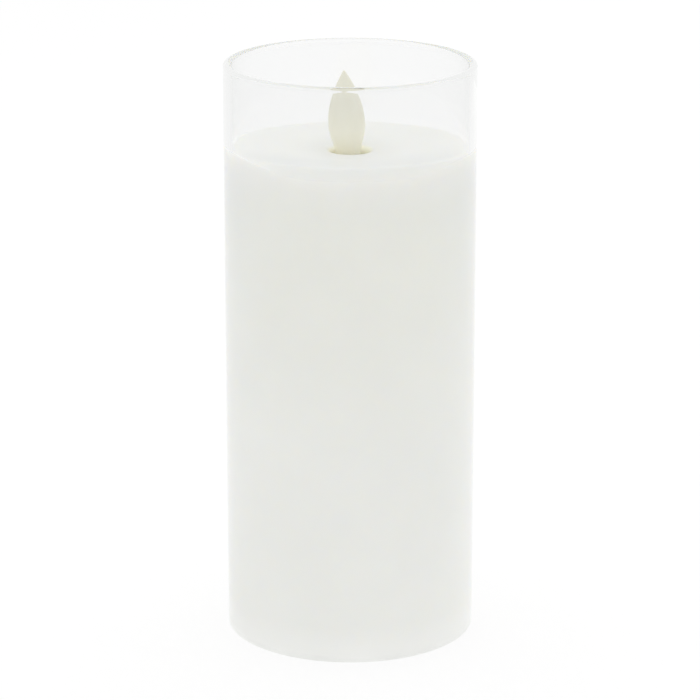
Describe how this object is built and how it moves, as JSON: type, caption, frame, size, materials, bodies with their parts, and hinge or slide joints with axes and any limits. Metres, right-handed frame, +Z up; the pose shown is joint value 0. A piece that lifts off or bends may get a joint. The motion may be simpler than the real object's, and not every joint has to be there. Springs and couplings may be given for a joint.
{
  "type": "flameless led candle",
  "caption": "White wax pillar candle in a clear open-topped glass sleeve, with an ivory flame that swings on a hidden pivot, and a battery door and slide switch under the base.",
  "frame": {"origin": "on the table, under the middle of the foot ring", "axes": "+Z up along the glass, -Y towards the viewer of the picture, +X to the viewer's right"},
  "size_m": [0.075, 0.075, 0.175],
  "materials": {
    "clear_glass": "clear, fire-polished rim",
    "white_wax": "smooth wax, slightly translucent",
    "ivory_plastic": "satin, slightly translucent",
    "white_plastic": "satin",
    "black_plastic": "satin",
    "silicone": "cured bead",
    "steel": "bright",
    "nickel_plate": "plated",
    "enamelled_copper": "enamelled",
    "cell_jacket": "plain dark film",
    "board_green": "solder mask",
    "amber_lens": "clear epoxy",
    "red_insulation": "satin",
    "black_insulation": "satin"
  },
  "bodies": {
    "candle": {"glass_sleeve": "clear_glass", "adhesive_bead": "silicone", "wax_shell": "white_wax", "core_liner": "white_plastic", "base_plate": "white_plastic", "battery_left": "cell_jacket", "battery_right": "cell_jacket", "contact_positive": "nickel_plate", "contact_negative": "nickel_plate", "spring_top": "steel", "switch_body": "steel", "wire_positive": "red_insulation", "wire_negative": "black_insulation", "wire_switched": "red_insulation", "housing_front": "ivory_plastic", "housing_rear": "ivory_plastic", "pivot_wire": "steel", "led_left": "amber_lens", "led_right": "amber_lens", "coil_bobbin": "white_plastic", "coil_winding": "enamelled_copper", "control_board": "board_green", "controller_chip": "black_plastic", "capacitor": "cell_jacket", "transistor": "black_plastic", "base_screw_1": "steel", "base_screw_2": "steel", "base_screw_3": "steel", "base_screw_4": "steel", "module_screw_1": "steel", "module_screw_2": "steel", "module_screw_3": "steel", "module_screw_4": "steel"},
    "flame": {"flame_bulb": "ivory_plastic", "flame_stem": "ivory_plastic", "flame_magnet": "nickel_plate"},
    "door": {"battery_door": "white_plastic", "contact_bridge": "nickel_plate", "spring_door": "steel"},
    "slider": {"switch_slider": "black_plastic"}
  },
  "joints": [
    {"name": "flame_swing", "type": "hinge", "parent": "candle", "child": "flame", "pos_m": [0, 0, 0.1362], "axis": [0, 1, 0], "range_deg": [-4.5, 9.5]},
    {"name": "battery_door_hinge", "type": "hinge", "parent": "candle", "child": "door", "pos_m": [0, 0.0073, 0.0016], "axis": [1, 0, 0], "range_deg": [0, 75]},
    {"name": "switch_slide", "type": "slide", "parent": "candle", "child": "slider", "axis": [1, 0, 0], "range_m": [-0.002, 0.002]}
  ]
}
